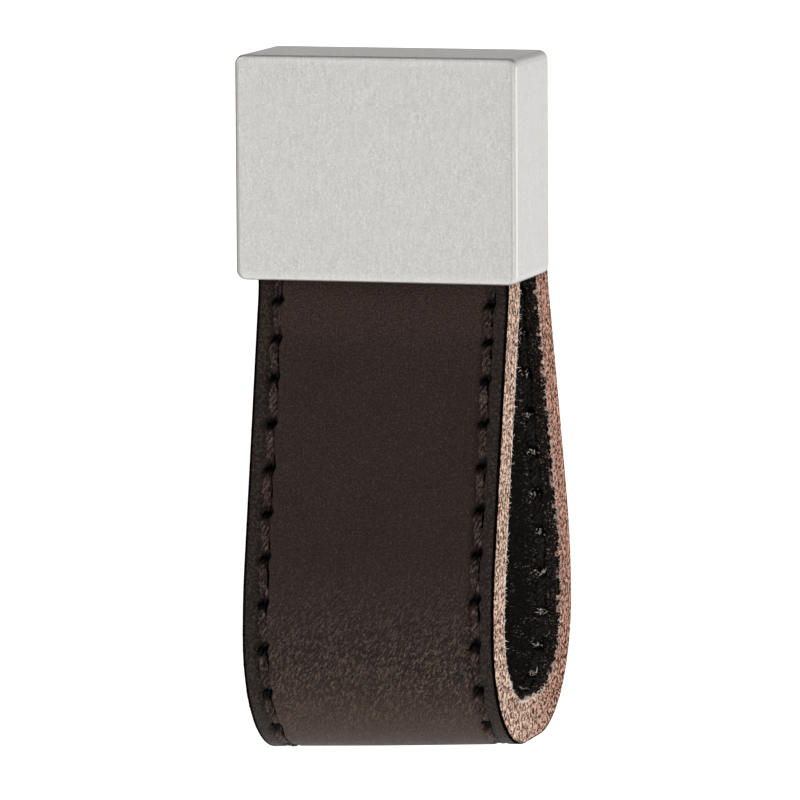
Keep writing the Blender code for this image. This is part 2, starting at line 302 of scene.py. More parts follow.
front_straight, front_shift = lean_run(FRONT_LEAN, MOUTH_BEND, LOOP_DROP)
rear_straight, rear_shift = lean_run(REAR_LEAN, REAR_BEND, LOOP_DROP + REAR_BEND_START)
loop_flat = REAR_RUN_Y + rear_shift - FRONT_RUN_Y + front_shift - 2 * LOOP_CORNER
door_y = REAR_RUN_Y + rear_shift + STRAP_THICKNESS / 2 + DOOR_GAP
PATH = np.array([
    (FRONT_RUN_LENGTH, 0.0),
    (MOUTH_BEND * FRONT_LEAN, -FRONT_LEAN),
    (front_straight, 0.0),
    (SIDE_BEND * FRONT_LEAN, FRONT_LEAN),
    (LOOP_CORNER * math.pi / 2, math.pi / 2),
    (loop_flat, 0.0),
    (LOOP_CORNER * math.pi / 2, math.pi / 2),
    (SIDE_BEND * REAR_LEAN, REAR_LEAN),
    (rear_straight, 0.0),
    (REAR_BEND * REAR_LEAN, -REAR_LEAN),
    (REAR_RUN_LENGTH, 0.0),
])


def summed(steps):
    """0, the first step, the first two together and so on."""
    return np.concatenate(((0.0,), np.cumsum(steps)))


path_starts, path_headings = summed(PATH[:, 0]), summed(PATH[:, 1])
STRAP_LENGTH = path_starts[-1]
piece_chords = PATH[:, 0] * np.sinc(PATH[:, 1] / 2 / math.pi)
piece_means = path_headings[:-1] + PATH[:, 1] / 2
path_y = FRONT_RUN_Y - door_y + summed(piece_chords * np.sin(piece_means))
path_z = FRONT_RUN_LENGTH - BLOCK_HEIGHT / 2 - summed(piece_chords * np.cos(piece_means))
HANG = 0.05
HANG_EASE = 28 * MM


def hang(distance):
    """How much of the sideways droop has set in: 0 in the block, 1 round the bottom, 0 at the rear end."""
    down = smooth_step(path_starts[1], path_starts[1] + HANG_EASE, distance)
    return down * (1 - smooth_step(path_starts[10] - HANG_EASE, path_starts[10], distance))


def on_strap(distance, across, outward):
    """Points at a distance along the strap, across its width, and outward from its centreline. Leather never
    hangs quite straight: the left side droops by a twentieth of the distance across."""
    piece = np.clip(np.searchsorted(path_starts, distance, side="right") - 1, 0, len(PATH) - 1)
    part = distance - path_starts[piece]
    angle = PATH[piece, 1] * part / PATH[piece, 0]
    mean = path_headings[piece] + angle / 2
    chord = part * np.sinc(angle / 2 / math.pi)
    heading = path_headings[piece] + angle
    y = path_y[piece] + chord * np.sin(mean) - outward * np.cos(heading)
    z = path_z[piece] - chord * np.cos(mean) - outward * np.sin(heading) + HANG * across * hang(distance)
    return np.stack(np.broadcast_arrays(across, y, z), axis=-1)


print("the strap is", round(STRAP_LENGTH / MM, 2), "mm long")
print("the loop's bottom is flat for", round(loop_flat / MM, 2), "mm")

# %% [markdown]
# ## The seams
#
# Two seams run the whole length. An awl made a slanted slit at every stitch, and the thread pulls the leather
# down along the line, with a crease on the thread's right. These values place the slits, the sunken line, the
# crease and the threads alike. The marks are a little closer near the block and round the bottom, as they are
# where someone spaces them by hand.

# %% Where the stitches go
SEAM_X = STRAP_WIDTH / 2 - 2.1 * MM
STITCHES = 32
hole_numbers = np.arange(STITCHES + 1)
hole_places = np.interp(hole_numbers, (0, 4, 6, 11, 14, 32), (3.0, 22.4, 30.3, 53.1, 66.0, 150.4)) * MM
CHANNEL_HALF, CHANNEL_DEPTH = 0.85 * MM, 0.3 * MM
PULL_REACH = 0.9 * MM
SLIT_LONG, SLIT_SHORT, SLIT_DEPTH = 0.66 * MM, 0.36 * MM, 1.0 * MM
SLIT_SLANT = math.radians(38)
CREASE_X, CREASE_HALF, CREASE_DEPTH = 0.4 * MM, 0.13 * MM, 0.3 * MM


def from_hole(distance):
    """How far a place lies past the nearest hole."""
    hole = np.round(np.interp(distance, hole_places, hole_numbers)).astype(int)
    return distance - hole_places[hole]


def along_noise(distance, size, row, seed):
    """Noise along the strap with lumps of a size. Each row of the lattice is a noise of its own."""
    return lattice_noise(distance / size, distance * 0 + row, seed)


def seam_depth(distance, across):
    """How far the surface is pulled in, and where shade is painted: a rounded channel along each seam, a
    wandering crease on its right, and at each stitch a slanted slit that falls off as exp(-(long^4 + short^2)).
    The painted shade lies in the slits and the crease."""
    sideways = across - np.copysign(SEAM_X, across)
    seam_seed = 40 * (across > 0)
    channel = CHANNEL_DEPTH * (1 - smooth_step(0.2, 1.0, np.abs(sideways + 0.1 * MM) / CHANNEL_HALF))
    after = from_hole(distance)
    long = (sideways * math.cos(SLIT_SLANT) - after * math.sin(SLIT_SLANT)) / SLIT_LONG
    short = (sideways * math.sin(SLIT_SLANT) + after * math.cos(SLIT_SLANT)) / SLIT_SHORT
    slit = np.exp(-(np.minimum(long**4, 40) + np.minimum(short**2, 40)))
    wander = 0.15 * MM * along_noise(distance, 1.3 * MM, seam_seed, 8)
    wander += 0.06 * MM * along_noise(distance, 0.45 * MM, seam_seed, 18)
    strength = 0.65 + 0.55 * along_noise(distance, 1.4 * MM, seam_seed, 9)
    crease = strength * np.exp(-np.minimum(((sideways - CREASE_X - wander) / CREASE_HALF) ** 2, 40))
    pull = 0.5 * CHANNEL_DEPTH * np.exp(-((after / PULL_REACH) ** 2))
    pull = pull * (1 - smooth_step(0.3, 1.6, np.abs(sideways) / CHANNEL_HALF))
    return channel + pull + CREASE_DEPTH * crease + SLIT_DEPTH * slit, np.maximum(slit, crease)


print(STITCHES, "stitches in each seam, whose ends are at", hole_places[[0, -1]] / MM, "mm")

# %% [markdown]
# ## The leather loop
#
# The loop is one strap of vegetable-tanned leather: a smooth dark grain face outside, a near-black flesh face
# inside, and raw edges that show the fibres. It could be a curve with a bevel. A section carried along the
# centreline by a formula lets the seams, slits and torn edges be part of the surface, and every point keeps
# its place on the flat strap, so that grain and fibres follow the leather round the bend.

# %% The section round the strap


def across_face(seam_points, plain_points):
    """Places across one face, from left to right: close together at the seams and far apart between them."""
    seam = SEAM_X + CHANNEL_HALF * np.linspace(-1.25, 1.2, seam_points)
    plain = np.linspace(0, SEAM_X - 1.5 * CHANNEL_HALF, plain_points)[:-1]
    positive = np.concatenate((plain, seam, [(seam[-1] + STRAP_WIDTH / 2 - 0.2 * MM) / 2]))
    return np.concatenate((-positive[:0:-1], positive))


def strap_section():
    """Across, outward and face of each point round the strap: 0 grain face, 1 raw edge, 2 flesh face."""
    half, thick = STRAP_WIDTH / 2, STRAP_THICKNESS / 2
    grain_round, flesh_round = 0.14 * MM, 0.25 * MM
    grain, flesh = across_face(27, 9), across_face(9, 7)
    arc = np.linspace(0, math.pi / 2, 5)
    inward, onward = 1 - np.sin(arc), 1 - np.cos(arc)
    grain_corner = np.stack((half - grain_round * inward, thick - grain_round * onward))
    flesh_corner = np.stack((half - flesh_round * onward, flesh_round * inward - thick))
    edge = np.linspace(thick - grain_round, -thick + flesh_round, 16)[1:-1]
    right = np.concatenate((grain_corner, np.stack((np.full(edge.size, half), edge)), flesh_corner), axis=1)
    left = np.stack((-right[0][::-1], right[1][::-1]))
    across = np.concatenate((grain, right[0], flesh[::-1], left[0]))
    outward = np.concatenate((np.full(grain.size, thick), right[1], np.full(flesh.size, -thick), left[1]))
    edge_kind = np.ones(right.shape[1])
    edge_kind[: arc.size - 1] = 0.0
    kind = np.concatenate((np.zeros(grain.size), edge_kind, np.full(flesh.size, 2.0), edge_kind[::-1]))
    return across, outward, kind


section_across, section_outward, section_kind = strap_section()
print(section_across.size, "points round the strap")

# %% The strap's surface
BEND_EASE = 9 * MM
TORN_SIZE, FRAY_SIZE = 0.42 * MM, 0.2 * MM
NAP_SIZE, NAP_DEPTH = 0.6 * MM, 0.04 * MM
PRESSED = 0.22 * MM
WAVE_LONG, WAVE_WIDE, WAVE_DEPTH = 9 * MM, 11 * MM, 0.05 * MM
thick = STRAP_THICKNESS / 2
stations = np.interp(np.arange(600), (0, 40, 440, 599), np.array((0.0, 19.0, 104.0, STRAP_LENGTH / MM)) * MM)
distance, across = np.meshgrid(stations, section_across, indexing="ij")
outward = np.broadcast_to(section_outward, distance.shape).copy()
kind = np.broadcast_to(section_kind, distance.shape)
on_face = kind != 1
pulled, seam_shade_paint = seam_depth(distance, across)
outward -= np.where(on_face, np.sign(outward) * pulled, 0.0)
on_edge = (~on_face) * smooth_step(thick, thick - 0.35 * MM, np.abs(outward))
bend_in, bend_out = (smooth_step(at - BEND_EASE, at + BEND_EASE, distance) for at in path_starts[[4, 7]])
bend_share = bend_in * (1 - bend_out)
torn = lattice_noise(distance / TORN_SIZE, outward / TORN_SIZE + 40, 3)
torn += 0.5 * lattice_noise(distance / FRAY_SIZE, outward / FRAY_SIZE + 90, 4)
torn_depth = (0.05 + 0.05 * bend_share) * MM
across = across + np.sign(across) * on_edge * torn * torn_depth
flesh_face = kind == 2
outward = outward - flesh_face * lattice_noise(distance / NAP_SIZE, across / NAP_SIZE, 5) * NAP_DEPTH
# The post presses the rear end on the block, so the flesh side fills the last of the gap there.
outward -= flesh_face * PRESSED * smooth_step(path_starts[9] + 4 * MM, path_starts[10], distance)
wave = lattice_noise(distance / WAVE_LONG, across / WAVE_WIDE, 6) * WAVE_DEPTH
outward = outward + np.where(on_face, wave, 0.0)
strap_rings = on_strap(distance, across, outward)


def end_cap(row, into):
    """The end ring once more, drawn in a little and moved along the strap, so that the cut end is an edge."""
    return on_strap(across[row] * 0 + stations[row] + into, across[row] * 0.992, outward[row] * 0.95)[None]


END_DROP = 0.02 * MM
strap_rings = np.concatenate((end_cap(0, END_DROP), strap_rings, end_cap(-1, -END_DROP)))
leather_loop = new_piece("leather_loop", *closed_tube(strap_rings), "leather", ["strap"])
flat_place = np.stack((across, distance, np.broadcast_to(section_outward, distance.shape)), axis=-1) / MM
cut_edge = (kind == 1).astype(float)
for name, values in (
    ("flat_mm", flat_place),
    ("cut_edge", cut_edge),
    ("flesh", flesh_face.astype(float)),
    ("bend", bend_share),
    ("seam_shade_paint", np.where(on_face, seam_shade_paint, 0.0)),
):
    first, last = (np.ones_like(cut_edge[:1]),) * 2 if name == "cut_edge" else (values[:1], values[-1:])
    keep_values(leather_loop, name, np.concatenate((first, values, last)))

# %% [markdown]
# ## The threads
#
# Each seam is sewn with waxed thread of three plies, one thread on the grain side and one on the flesh side.
# A thread rises out of one slit, lies in the channel and dives into the next. It could be a picture on the
# leather, but real plies catch the light and cast the small shadows that make a seam read as sewn.

# %% Plies twisted round a path
PLY_RADIUS = 0.21 * MM
PLY_OFFSET = 0.27 * MM
FLATTENED = 0.45
TWIST_LENGTH = 2.1 * MM
PLY_SIDES = 8
THREAD_DIVE = 1.3 * MM
STITCH_STEPS = 30


def unit(vectors):
    """Vectors divided by their lengths."""
    return vectors / np.linalg.norm(vectors, axis=1, keepdims=True)


def circles(angle, side, other):
    """At each place, unit vectors all round: the side times the cosine plus the other times the sine."""
    return np.cos(angle)[None, :, None] * side[:, None] + np.sin(angle)[None, :, None] * other[:, None]


def frame_along(path):
    """Two unit vectors across a path at each point: X made square to the direction, and the third one."""
    direction = unit(np.gradient(path, axis=0))
    side = unit(np.array((1.0, 0.0, 0.0)) - direction * direction[:, :1])
    return side, np.cross(direction, side)


def round_tube(path, radius, sides):
    """Rings of a tube: a circle of the radius carried along the path, square to it."""
    angle = np.linspace(0, 2 * math.pi, sides, endpoint=False)
    return path[:, None] + circles(angle, *frame_along(path)) * radius[:, None, None]


def stitch_path(seam_x, side, seed):
    """A thread's path: on the surface between slits, and down at each slit as |2f - 1|^5 of the dive, where f
    is the share of the stitch. It leaves each slit at one end and reaches the next at its other end. Each
    stitch draws a lift, a drift and a bow of its own."""
    random = np.random.default_rng(seed)
    count = np.linspace(0, STITCHES, STITCHES * STITCH_STEPS + 1)
    distance = np.interp(count, hole_numbers, hole_places)
    stitch = np.minimum(count.astype(int), STITCHES - 1)
    share = count - stitch
    dive = np.abs(2 * share - 1) ** 5
    lift = random.uniform(-0.04, 0.05, STITCHES)[stitch] * MM
    drift = random.uniform(-0.07, 0.07, STITCHES)[stitch] * MM
    slant = 0.17 * MM * np.sin((share - 0.5) * math.pi)
    bow = random.uniform(-0.08, 0.08, STITCHES)[stitch] * MM * np.sin(share * math.pi)
    top = STRAP_THICKNESS / 2 - PLY_RADIUS - FLATTENED * PLY_OFFSET + lift * np.sin(share * math.pi)
    across = seam_x + slant + (drift + bow) * (1 - dive)
    return on_strap(distance, across, side * (top - dive * THREAD_DIVE)), distance, dive


def twisted_thread(name, seam_x, side, slot, node, seed):
    """Three plies whose centres circle the path once in each twist length, joined into one piece."""
    path, distance, dive = stitch_path(seam_x, side, seed)
    across, over = frame_along(path)
    untwist = 1.4 * along_noise(distance, 1.7 * MM, seed, seed + 70)
    points, faces, fibre = [], [], []
    for ply in range(3):
        angle = (2 * math.pi * distance / TWIST_LENGTH + ply * 2 * math.pi / 3 + untwist)[:, None]
        lumps = 1 + 0.38 * along_noise(distance, 0.24 * MM, seed + 5 * ply, seed)
        loose = 1 + 0.4 * along_noise(distance, 0.8 * MM, seed + 5 * ply, seed + 50)
        offset = np.cos(angle) * across + FLATTENED * np.sin(angle) * over
        centre = path + PLY_OFFSET * loose[:, None] * offset
        ply_points, ply_faces = closed_tube(round_tube(centre, PLY_RADIUS * lumps, PLY_SIDES))
        faces += [[corner + ply * len(ply_points) for corner in face] for face in ply_faces]
        points.append(ply_points)
        along, round_ply = distance[:, None] / MM, np.arange(PLY_SIDES) / PLY_SIDES
        fibre.append(np.stack(np.broadcast_arrays(along, round_ply, float(ply)), axis=-1))
    thread = new_piece(name, np.concatenate(points), faces, slot, [node], smooth=math.pi)
    keep_values(thread, "along_mm", np.concatenate(fibre))
    keep_values(thread, "dive", np.tile(np.repeat(dive, PLY_SIDES), 3))
    return thread


threads = {"outer": [], "inner": []}
for layer, side, slot, seed in (("outer", 1, "grain_thread", 11), ("inner", -1, "flesh_thread", 13)):
    for hand, sign, later in (("left", -1, 0), ("right", 1, 1)):
        node = f"{layer}_thread_{hand}"
        sewn = twisted_thread(f"sewn_{layer}_{hand}", sign * SEAM_X, side, slot, node, seed + later)
        threads[layer].append(sewn)

# %% [markdown]
# ## Torn fibres on the raw edges
#
# The knife leaves short fibres standing along the cut edges, most of all where the edge meets the flesh side.
# Hair particles would do, but a few thousand tapered strands of three sides are plain mesh, and every one of
# them starts on the surface that it grew from.

# %% Strands with a taper


def fibre_strands(name, root, direction, length, radius, slot, seed):
    """Strands as arrays. Each bends from its direction towards a random one, and narrows to a tip."""
    random = np.random.default_rng(seed)
    count = len(root)
    bend = random.normal(0, 0.55, (count, 3))
    share = np.array((0.0, 0.4, 0.75, 1.0))[None, :, None]
    centre = root[:, None] + length[:, None, None] * (share * direction[:, None] + share**2 * bend[:, None])
    side = unit(np.cross(direction, random.normal(0, 1, (count, 3))))
    circle = circles(np.array((0, 2, 4)) * math.pi / 3, side, unit(np.cross(direction, side)))
    size = radius[:, None] * np.array((1.0, 0.85, 0.6, 0.2))
    points = centre[:, :, None] + size[:, :, None, None] * circle[:, None]
    strand_faces = closed_tube(points[0])[1]
    faces = [[corner + 12 * strand for corner in face] for strand in range(count) for face in strand_faces]
    piece = new_piece(name, points.reshape(-1, 3), faces, slot, smooth=math.pi)
    keep_values(piece, "strand_tone", np.repeat(random.uniform(0, 1, count), 12))
    return piece


def outward_at(distance):
    """The unit vector out of the loop at a distance along the strap."""
    return on_strap(distance, 0.0, 1.0) - on_strap(distance, 0.0, 0.0)


def edge_strands(count, side, seed):
    """Strands on one raw edge: three in four along the flesh corner, the rest anywhere on the edge."""
    random = np.random.default_rng(seed)
    distance = random.uniform(0.2 * MM, STRAP_LENGTH - 0.2 * MM, count)
    at_corner = random.uniform(0, 1, count) < 0.75
    near_corner, anywhere = random.uniform(0.05, 0.4, count) * MM, random.uniform(-0.9, 0.6, count) * thick
    outward = np.where(at_corner, near_corner - thick, anywhere)
    root = on_strap(distance, side * (STRAP_WIDTH / 2 - 0.06 * MM), outward)
    inward = -outward_at(distance)
    along = np.cross(inward, (1.0, 0.0, 0.0))
    lean = random.normal(0, 0.8, (count, 1))
    towards = np.where(at_corner, random.uniform(0.5, 1.2, count), random.normal(0, 0.5, count))[:, None]
    stand = np.where(at_corner, random.uniform(0.0, 0.5, count), random.uniform(0.3, 0.9, count))[:, None]
    direction = unit(inward * towards + along * lean + np.array((side, 0.0, 0.0)) * stand)
    length = (0.1 + 0.3 * random.uniform(0, 1, count) ** 2) * np.where(at_corner, 1.0, 0.6) * MM
    return root, direction, length, random.uniform(0.03, 0.085, count) * MM


edge_fibres = [
    fibre_strands(f"edge_fibres_{hand}", *edge_strands(1500, sign, seed), "leather", seed)
    for hand, sign, seed in (("left", -1, 21), ("right", 1, 22))
]

# %% Fluff where the thread comes through on the flesh side


def fluff_strands(seam_x, seed):
    """A small tuft of pale strands at each hole, spread mostly across the strap."""
    random = np.random.default_rng(seed)
    hole = np.repeat(np.arange(1, STITCHES), 11)
    count = hole.size
    distance = hole_places[hole] + random.normal(0, 0.22, count) * MM
    root = on_strap(distance, seam_x + random.normal(0, 0.3, count) * MM, -thick + 0.02 * MM)
    inward = -outward_at(distance)
    along = np.cross(inward, (1.0, 0.0, 0.0))
    direction = np.array((1.0, 0.0, 0.0)) * random.normal(0, 1.0, (count, 1))
    direction = direction + along * random.normal(0, 0.6, (count, 1))
    direction = unit(direction + inward * random.uniform(0.2, 0.6, (count, 1)))
    big = random.uniform(0.3, 1.0, STITCHES)[hole]
    length = random.uniform(0.15, 0.55, count) * big * MM
    return root, direction, length, random.uniform(0.05, 0.12, count) * MM


fluff = [
    fibre_strands(f"fluff_{hand}", *fluff_strands(sign * SEAM_X, seed), "flesh_thread", seed)
    for hand, sign, seed in (("left", -1, 31), ("right", 1, 32))
]

# %% [markdown]
# ## The turned post
#
# The post is turned on a lathe: a profile carried round an axis. Its stud goes forward through the leather
# and the block, and the hole in its rear face has a helical thread for the door's screw. The helix is the same
# profile with a radius that depends on height and angle together.

# %% A profile carried round the axis
POST_RADIUS, POST_CHAMFER = 6.0 * MM, 0.5 * MM
STUD_RADIUS, STUD_CHAMFER = 2.0 * MM, 0.4 * MM
HOLE_RADIUS, HOLE_DEPTH, THREAD_PITCH, THREAD_HEIGHT = 1.65 * MM, 8.0 * MM, 0.7 * MM, 0.3 * MM
SHOULDER = door_y - (REAR_RUN_Y + STRAP_THICKNESS / 2 + 0.06 * MM)
STUD_END = door_y - 1.7 * MM
ROUND_STEPS = 128


def turned_rings(profile):
    """Rings round the Y axis from (radius, distance in front of the door) pairs. In the screw hole the radius
    follows a triangle wave of the height less one pitch a turn."""
    radius, height = (np.array(column)[:, None] for column in zip(*profile))
    angle = np.linspace(0, 2 * math.pi, ROUND_STEPS, endpoint=False)[None]
    wave = np.abs(((height / THREAD_PITCH - angle / (2 * math.pi)) % 1.0) * 2 - 1)
    in_hole = (radius <= HOLE_RADIUS * 1.001) & (height > 0.3 * MM) & (height < HOLE_DEPTH - 0.3 * MM)
    radius = radius + np.where(in_hole, THREAD_HEIGHT * wave, 0.0)
    return np.stack(np.broadcast_arrays(radius * np.cos(angle), -height, radius * np.sin(angle)), axis=-1)


def rounded(profile, break_size):
    """The profile with each corner replaced by two points a small distance before and after it."""
    points = [profile[0]]
    for before, here, after in zip(profile, profile[1:], profile[2:]):
        for other in (before, after):
            share = min(break_size / math.dist(here, other), 0.4)
            points.append(tuple(start + (end - start) * share for start, end in zip(here, other)))
    return [*points, profile[-1]]


outline = rounded(
    [
        (0.05 * MM, STUD_END),
        (STUD_RADIUS - STUD_CHAMFER, STUD_END),
        (STUD_RADIUS, STUD_END - STUD_CHAMFER),
        (STUD_RADIUS, SHOULDER),
        (POST_RADIUS - POST_CHAMFER, SHOULDER),
        (POST_RADIUS, SHOULDER - POST_CHAMFER),
        (POST_RADIUS, POST_CHAMFER),
        (POST_RADIUS - POST_CHAMFER, 0.0),
        (HOLE_RADIUS + 0.3 * MM, 0.0),
        (HOLE_RADIUS, 0.3 * MM),
    ],
    0.06 * MM,
)
hole_heights = np.linspace(0.35 * MM, HOLE_DEPTH - 0.31 * MM, 110)
outline += [(HOLE_RADIUS, height) for height in hole_heights]
outline += [(HOLE_RADIUS, HOLE_DEPTH), (0.05 * MM, HOLE_DEPTH + 0.6 * HOLE_RADIUS)]
turned_post = new_piece("turned_post", *closed_tube(turned_rings(outline)), "turned_metal", ["post"])

# %% [markdown]
# ## Drilling the stud's hole
#
# The stud goes through both ends of the strap and the block's rear wall. A Boolean with a plain cylinder is
# right for a drilled hole, because a drill does the same, and it is applied at once.

# %% The drilled holes
HOLE_CLEARANCE = 0.25 * MM
DRILL_SIDES = 64


def drill(piece, radius, near, far):
    """Takes a cylinder along Y out of a piece, between two distances in front of the door."""
    angle = np.linspace(0, 2 * math.pi, DRILL_SIDES, endpoint=False)
    circle = np.stack((radius * np.cos(angle), angle * 0, radius * np.sin(angle)), axis=-1)
    rings = circle[None] - np.array((0.0, 1.0, 0.0)) * np.array((near, far))[:, None, None]
    points, faces = closed_tube(rings)
    cutter = in_scene("drill", new_mesh("drill", points.tolist(), faces))
    boolean = piece.modifiers.new("drilled", "BOOLEAN")
    boolean.operation = "DIFFERENCE"
    boolean.solver = "EXACT"
    boolean.object = cutter
    bpy.context.view_layer.update()
    drilled = bpy.data.meshes.new_from_object(piece.evaluated_get(bpy.context.evaluated_depsgraph_get()))
    piece.modifiers.clear()
    old = piece.data
    piece.data = drilled
    bpy.data.meshes.remove(old)
    bpy.data.objects.remove(cutter)
    print(piece.name, "drilled:", len(drilled.polygons), "faces")


for piece in (metal_block, leather_loop):
    drill(piece, STUD_RADIUS + HOLE_CLEARANCE, 8 * MM, door_y - 1.4 * MM)

# %% [markdown]
# ## Nodes for the materials
#
# A material is a small program of nodes. These helpers add one node each to the tree that was opened last.
# Effects that more than one material uses are node groups with named inputs and outputs.

# %% Helpers for nodes
opened = {}


def add(kind, inputs=None, **settings):
    """A node of a kind. Settings are its properties, and inputs are values or the sockets that feed it."""
    tree = opened["tree"]
    node = tree.nodes.new(kind)
    for name, value in settings.items():
        setattr(node, name, value)
    for key, value in (inputs or {}).items():
        if isinstance(value, bpy.types.NodeSocket):
            tree.links.new(value, node.inputs[key])
        else:
            node.inputs[key].default_value = value
    return node


def calculate(operation, a, b=0.0, clamp=False):
    """One step of arithmetic between two numbers or sockets."""
    return add("ShaderNodeMath", {0: a, 1: b}, operation=operation, use_clamp=clamp).outputs[0]


def arithmetic(operation):
    """A helper for one kind of step between two numbers or sockets."""
    return lambda a, b: calculate(operation, a, b)


# Masks overlap where they are multiplied, and join where the larger one counts.
times, plus, minus, larger = map(arithmetic, ("MULTIPLY", "ADD", "SUBTRACT", "MAXIMUM"))


def between(value, low, high, to_low=0.0, to_high=1.0, kind="SMOOTHSTEP"):
    """A value moved from one range to another by a smooth step, which may run backwards, or along a line."""
    inputs = {0: value, 1: low, 2: high, 3: to_low, 4: to_high}
    return add("ShaderNodeMapRange", inputs, interpolation_type=kind).outputs[0]


def choose(share, a, b):
    """Two numbers mixed by a share from 0 to 1."""
    return add("ShaderNodeMix", {0: share, 2: a, 3: b}).outputs[0]


def blend(share, a, b, kind="MIX"):
    """Two colours mixed by a share from 0 to 1. A colour is a socket, or red, green and blue."""
    a, b = ((*colour, 1.0) if isinstance(colour, tuple) else colour for colour in (a, b))
    return add("ShaderNodeMix", {0: share, 6: a, 7: b}, data_type="RGBA", blend_type=kind).outputs[2]


def scaled(colour, *factors):
    """A colour multiplied by one factor, or by one for each of red, green and blue."""
    return blend(1.0, colour, factors * 3 if len(factors) == 1 else factors, "MULTIPLY")


def layered(colour, *layers):
    """A colour with layers over it, each a mask, how much of it counts, and the layer's colour."""
    for mask, amount, over in layers:
        colour = blend(mask if amount == 1 else times(mask, amount), colour, over)
    return colour


def noise(vector, scale, detail=2.0, roughness=0.5):
    """Smooth random values from 0 to 1 with lumps 1 / scale across."""
    inputs = {"Vector": vector, "Scale": scale, "Detail": detail, "Roughness": roughness}
    return add("ShaderNodeTexNoise", inputs).outputs[0]


def stretched(vector, *scale):
    """Coordinates multiplied by a scale on each axis, so that a pattern gets finer or longer along it."""
    return add("ShaderNodeMapping", {"Vector": vector, "Scale": scale}).outputs[0]


def object_mm(y_scale=1.0):
    """Where a point is in the part's frame, in millimetres, with Y scaled more if asked."""
    return stretched(add("ShaderNodeTexCoord").outputs["Object"], 1 / MM, y_scale / MM, 1 / MM)


def parts_of(vector):
    """A vector's X, Y and Z."""
    return add("ShaderNodeSeparateXYZ", {0: vector}).outputs


def kept(name, output="Fac"):
    """What each point of the mesh keeps under a name."""
    return add("ShaderNodeAttribute", attribute_name=name).outputs[output]


def new_group(name, inputs, output):
    """A node group that puts out one number, and the sockets of its inputs. An input of None is a vector."""
    tree = opened["tree"] = bpy.data.node_groups.new(name, "ShaderNodeTree")
    for label, value in inputs.items():
        kind = "NodeSocketVector" if value is None else "NodeSocketFloat"
        socket = tree.interface.new_socket(label, in_out="INPUT", socket_type=kind)
        if value is not None:
            socket.default_value = value
    tree.interface.new_socket(output, in_out="OUTPUT", socket_type="NodeSocketFloat")
    return tree, tree.nodes.new("NodeGroupInput").outputs


def end_group(value):
    """Hands a group's value to its output."""
    add("NodeGroupOutput", {0: value})


def new_material(name, **sockets):
    """A material whose Principled shader's plain numbers are set on the shader's own sockets."""
    material = bpy.data.materials.new(name)
    material.use_nodes = True
    opened["tree"] = material.node_tree
    opened["shader"] = material.node_tree.nodes["Principled BSDF"]
    for label, value in sockets.items():
        opened["shader"].inputs[label.replace("_", " ")].default_value = value
    return material


def feed(label, value):
    """Sends a value that changes over the surface to one of the shader's sockets."""
    opened["tree"].links.new(value, opened["shader"].inputs[label])


def emboss(height, strength, distance):
    """Bumps of a height. The distance is how deep a height of 1 is, in metres."""
    inputs = {"Strength": strength, "Distance": distance, "Height": height}
    feed("Normal", add("ShaderNodeBump", inputs).outputs[0])


def dress(material, *pieces):
    """Gives pieces a material in place of what they had."""
    for piece in pieces:
        piece.data.materials.clear()
        piece.data.materials.append(material)


# %% Groups for specks and for fine lines
specks, coming = new_group("specks", {"Vector": None, "Scale": 4.0, "Share": 0.1}, "Mask")
speck_edge = minus(0.72, coming["Share"])
end_group(between(noise(coming["Vector"], coming["Scale"], 1.0), speck_edge, plus(speck_edge, 0.05)))

lines, coming = new_group("fine_lines", {"Vector": None, "Scale": 6.0}, "Height")
line_fine = noise(coming["Vector"], coming["Scale"], 3.0, 0.65)
line_broad = noise(coming["Vector"], times(coming["Scale"], 0.3), 1.0)
end_group(plus(times(line_fine, 0.7), times(line_broad, 0.3)))


def specked(vector, scale, share):
    """1 in small separate specks that cover about a share of the surface."""
    inputs = {"Vector": vector, "Scale": scale, "Share": share}
    return add("ShaderNodeGroup", inputs, node_tree=specks).outputs[0]


def lined(vector, scale):
    """Fine lines of mixed widths; they run along the axis that the vector is squeezed on."""
    return add("ShaderNodeGroup", {"Vector": vector, "Scale": scale}, node_tree=lines).outputs[0]


# %% [markdown]
# ## Satin metal
#
# The block was brushed downwards with a fine belt and then dulled, so light spreads over it evenly. Close up
# there are faint upright lines, small pits from the casting, and edges that handling has made a little
# smoother.
# On top of that the colour has painted light: a painted highlight on the edges, brightest down the right
# upright rounding, painted glint specks, a lighter top and right end, and painted shade on the roundings at the
# left and below.

# %% The block's material
satin = new_material("satin_metal", Specular_IOR_Level=0.1)
in_mm = object_mm()
facing = parts_of(add("ShaderNodeNewGeometry").outputs["Normal"])
tilt = calculate("ABSOLUTE", facing["Z"])
upright_edge = between(tilt, 0.15, 0.05)
edge = kept("edge")
on_rounding = between(edge, 0.02, 0.12)
upright_lines = lined(stretched(in_mm, 1.0, 1.0, 0.24), 6.5)
sideways_lines = lined(stretched(in_mm, 0.1, 1.0, 1.0), 5.0)
brushing = choose(between(tilt, 0.5, 0.9), upright_lines, sideways_lines)
pits = specked(in_mm, 4.6, 0.05)
# Painted glints: bright specks in the colour, which also stand up a little in the bumps.
painted_glint_specks = specked(stretched(in_mm, 1.0, 1.0, 0.6), 5.2, 0.06)
speckle = between(noise(in_mm, 5.5, 2.0, 0.7), 0.3, 0.7)
cloud = between(noise(in_mm, 0.35, 3.0), 0.35, 0.65, 0.0, 0.4)
# A painted highlight down the right upright rounding.
painted_right_highlight = times(between(facing["X"], 0.72, 0.84), between(facing["X"], 1.0, 0.97))

